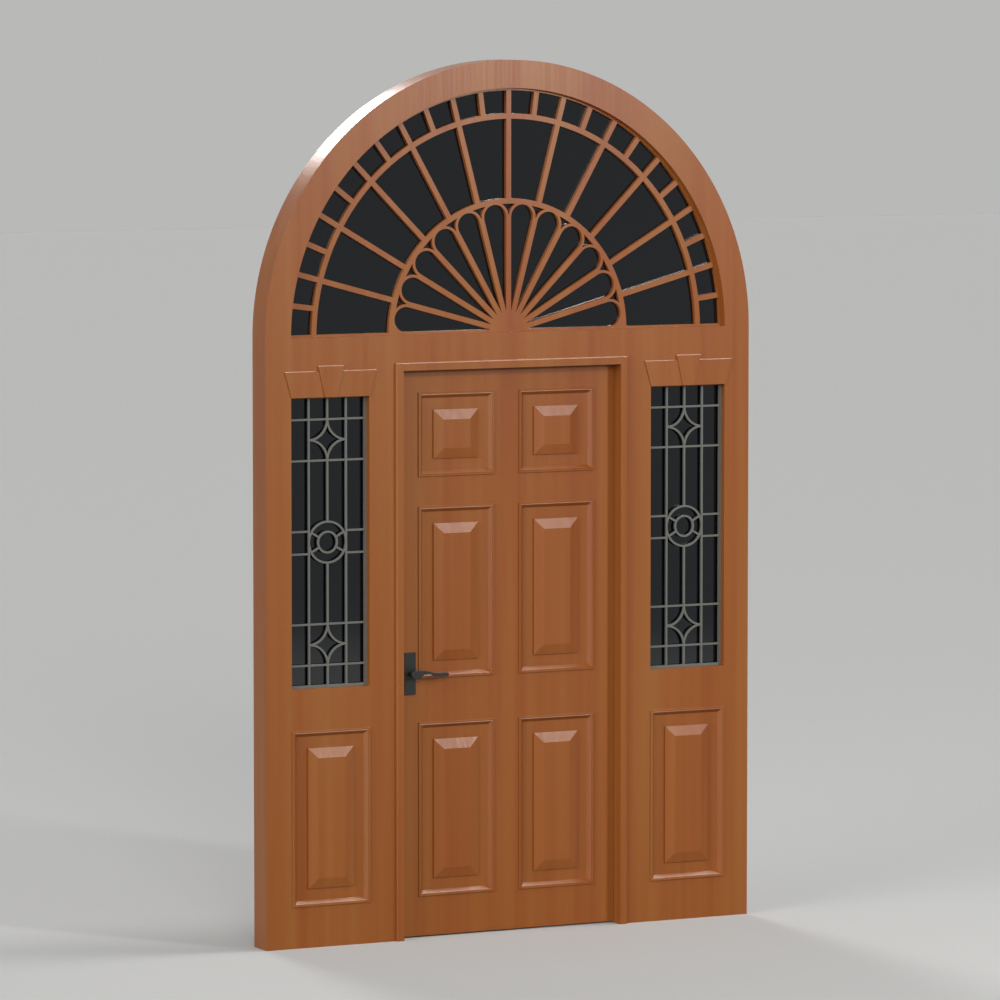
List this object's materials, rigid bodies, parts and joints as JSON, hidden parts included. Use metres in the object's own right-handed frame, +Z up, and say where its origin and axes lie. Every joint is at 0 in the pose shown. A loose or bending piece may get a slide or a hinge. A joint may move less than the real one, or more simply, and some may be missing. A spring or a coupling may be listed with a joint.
{
  "type": "arched entrance door set with sidelights and fanlight",
  "caption": "Arched timber entrance door set with a panelled leaf, grilled sidelights, a sunburst fanlight and a lever handle.",
  "frame": {"origin": "middle of the foot of the hinge-side outer jamb, on the floor", "axes": "+Z up, +X to the right across the front, +Y from the front into the house"},
  "size_m": [2, 0.187, 3.23],
  "materials": {
    "stained_wood": "satin",
    "glass": "gloss",
    "lead_grey": "satin",
    "dark_metal": "satin"
  },
  "bodies": {
    "frame": {"arch_crown": "stained_wood", "arch_left_lower": "stained_wood", "arch_left_upper": "stained_wood", "arch_right_lower": "stained_wood", "arch_right_upper": "stained_wood", "casing_head": "stained_wood", "casing_left": "stained_wood", "casing_right": "stained_wood", "door_stop_head": "stained_wood", "door_stop_left": "stained_wood", "door_stop_right": "stained_wood", "fanlight_bead": "stained_wood", "fanlight_glass": "glass", "fanlight_grille": "stained_wood", "hinge_frame_halves": "dark_metal", "keystones": "stained_wood", "lintel_wings": "stained_wood", "mullion_left": "stained_wood", "mullion_right": "stained_wood", "outer_jamb_left": "stained_wood", "outer_jamb_right": "stained_wood", "side_mouldings": "stained_wood", "side_panel_left": "stained_wood", "side_panel_right": "stained_wood", "sidelight_beads": "stained_wood", "sidelight_bottom_rail_left": "stained_wood", "sidelight_bottom_rail_right": "stained_wood", "sidelight_glass_left": "glass", "sidelight_glass_right": "glass", "sidelight_grilles": "lead_grey", "sidelight_mid_rail_left": "stained_wood", "sidelight_mid_rail_right": "stained_wood", "sidelight_top_rail_left": "stained_wood", "sidelight_top_rail_right": "stained_wood", "transom": "stained_wood"},
    "leaf": {"leaf_bottom_rail": "stained_wood", "leaf_frieze_rail": "stained_wood", "leaf_hinge_stile": "stained_wood", "leaf_lock_rail": "stained_wood", "leaf_lock_stile": "stained_wood", "leaf_mouldings": "stained_wood", "leaf_muntins": "stained_wood", "leaf_panels": "stained_wood", "leaf_top_rail": "stained_wood", "hinge_leaf_halves": "dark_metal", "handle_backplates": "dark_metal"},
    "lever": {"levers": "dark_metal", "lever_spindle": "dark_metal"}
  },
  "joints": [
    {"name": "leaf_hinge", "type": "hinge", "parent": "frame", "child": "leaf", "pos_m": [-0.48225, 0.062, 0], "axis": [0, 0, -1], "range_deg": [0, 100]},
    {"name": "lever_turn", "type": "hinge", "parent": "leaf", "child": "lever", "pos_m": [-1.35, -0.055, 0.982], "axis": [0, 1, 0], "range_deg": [0, 45], "stiffness_Nm_per_rad": 1.5, "springref_deg": -34.38}
  ]
}
